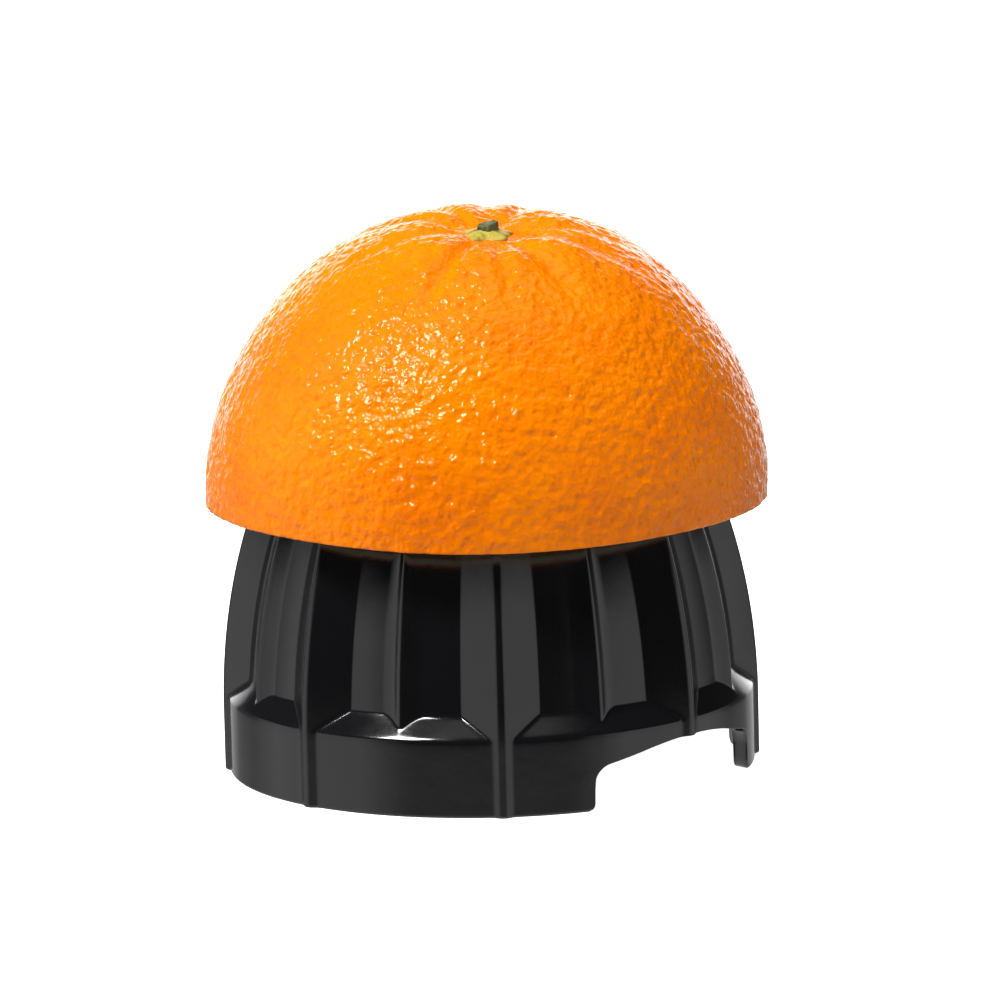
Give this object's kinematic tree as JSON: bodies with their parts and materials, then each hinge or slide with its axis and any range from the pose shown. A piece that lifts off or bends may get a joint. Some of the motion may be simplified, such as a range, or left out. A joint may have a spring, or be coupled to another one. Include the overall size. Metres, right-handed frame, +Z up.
{
  "type": "citrus press cone",
  "caption": "Ribbed reaming cone of an electric citrus press, hollow and open below with a keyed drive socket, and a half orange that turns and lifts on it.",
  "frame": {"origin": "centre of the skirt's lower rim, on the surface that the cone stands on", "axes": "+Z up along the drive axis towards the cone's tip, -Y towards the front"},
  "size_m": [0.0798, 0.0798, 0.0797],
  "materials": {
    "cone_plastic": "gloss",
    "hub_plastic": "satin",
    "bush_plastic": "satin",
    "screw_steel": "satin",
    "orange_flesh": "gloss",
    "orange_membrane": "satin",
    "orange_pith": "matte",
    "orange_zest": "gloss",
    "calyx_green": "matte",
    "stem_green": "matte"
  },
  "bodies": {
    "cone": {"press_cone": "cone_plastic", "drive_hub": "hub_plastic", "shaft_bush": "bush_plastic", "hub_screw": "screw_steel"},
    "flesh": {"orange_segments": "orange_flesh", "orange_membranes": "orange_membrane", "orange_core": "orange_membrane"},
    "peel": {"orange_zest": "orange_zest", "orange_pith": "orange_pith", "orange_calyx": "calyx_green", "stem_stub": "stem_green"}
  },
  "joints": [
    {"name": "orange_lift", "type": "slide", "parent": "cone", "child": "flesh", "axis": [0, 0, 1], "range_m": [0, 0.06]},
    {"name": "peel_turn", "type": "hinge", "parent": "flesh", "child": "peel", "pos_m": [0, 0, 0.0397], "axis": [0, 0, 1], "continuous": true}
  ]
}
